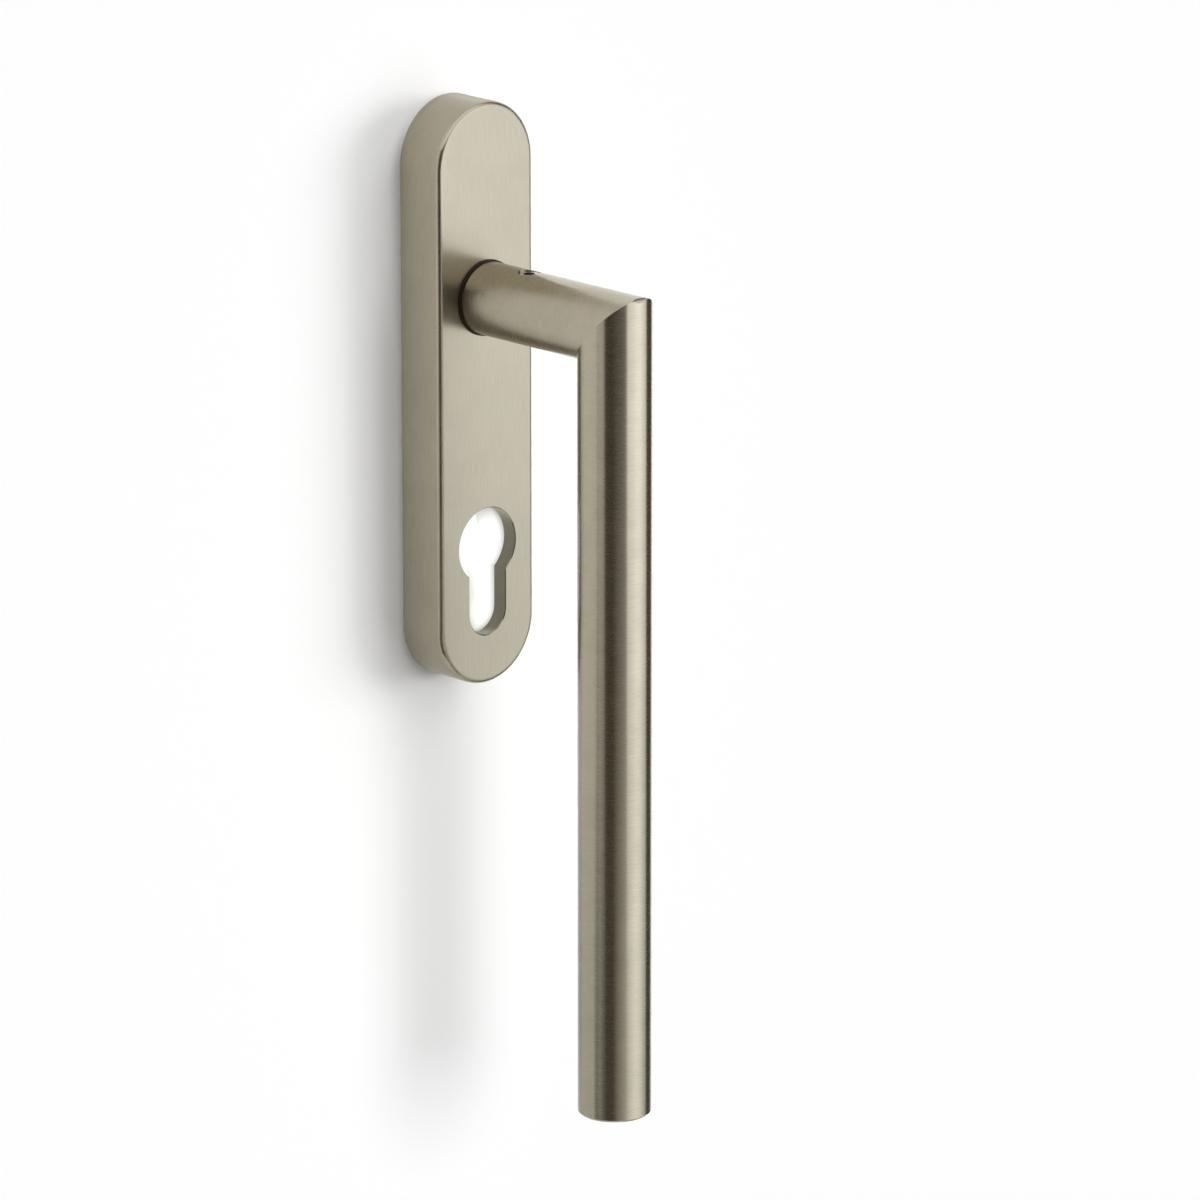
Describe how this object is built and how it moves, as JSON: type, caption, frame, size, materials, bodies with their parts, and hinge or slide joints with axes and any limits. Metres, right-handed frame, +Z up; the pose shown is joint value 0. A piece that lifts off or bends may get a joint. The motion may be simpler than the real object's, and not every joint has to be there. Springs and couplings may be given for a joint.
{
  "type": "lift and slide door handle",
  "caption": "Lift and slide door handle: a mitred round bar lever that turns on a long round-ended plate with a profile cylinder cut-out, for a square spindle and two through screws.",
  "frame": {"origin": "on the spindle axis, in the plane of the door face that the plate lies on", "axes": "+Z up along the plate, +Y into the door, -Y out of the door towards the hand, +X to the right of someone who faces the handle; the grip hangs along -Z"},
  "size_m": [0.0346, 0.1259, 0.2726],
  "materials": {
    "satin_nickel": "brushed and satin, warm nickel tone",
    "black_nylon": "turned, matt",
    "white_nylon": "moulded, fine matt",
    "zinc_plated_steel": "bright zinc plating",
    "turned_steel": "turned, fine rings",
    "drawn_steel": "cold drawn, zinc flake",
    "stainless_steel": "bright",
    "spring_steel": "hardened, dark"
  },
  "bodies": {
    "plate": {"cover_plate": "satin_nickel", "base_plate": "white_nylon", "bearing_plate": "zinc_plated_steel", "bearing_bush": "black_nylon", "plate_screw_upper_left": "zinc_plated_steel", "plate_screw_upper_right": "zinc_plated_steel", "plate_screw_lower_left": "zinc_plated_steel", "plate_screw_lower_right": "zinc_plated_steel", "fixing_screw_upper": "zinc_plated_steel", "fixing_screw_lower": "zinc_plated_steel", "support_sleeve_upper": "zinc_plated_steel", "support_sleeve_lower": "zinc_plated_steel", "cover_spring_upper_left": "spring_steel", "cover_spring_upper_right": "spring_steel", "cover_spring_lower_left": "spring_steel", "cover_spring_lower_right": "spring_steel"},
    "lever": {"lever": "satin_nickel", "neck_core": "turned_steel", "spindle": "drawn_steel", "grub_screw": "stainless_steel", "spring_washer": "spring_steel", "thrust_washer": "spring_steel", "retaining_ring": "spring_steel"}
  },
  "joints": [
    {"name": "lever_turn", "type": "hinge", "parent": "plate", "child": "lever", "pos_m": [0, 0, 0], "axis": [0, 1, 0], "range_deg": [0, 180]}
  ]
}
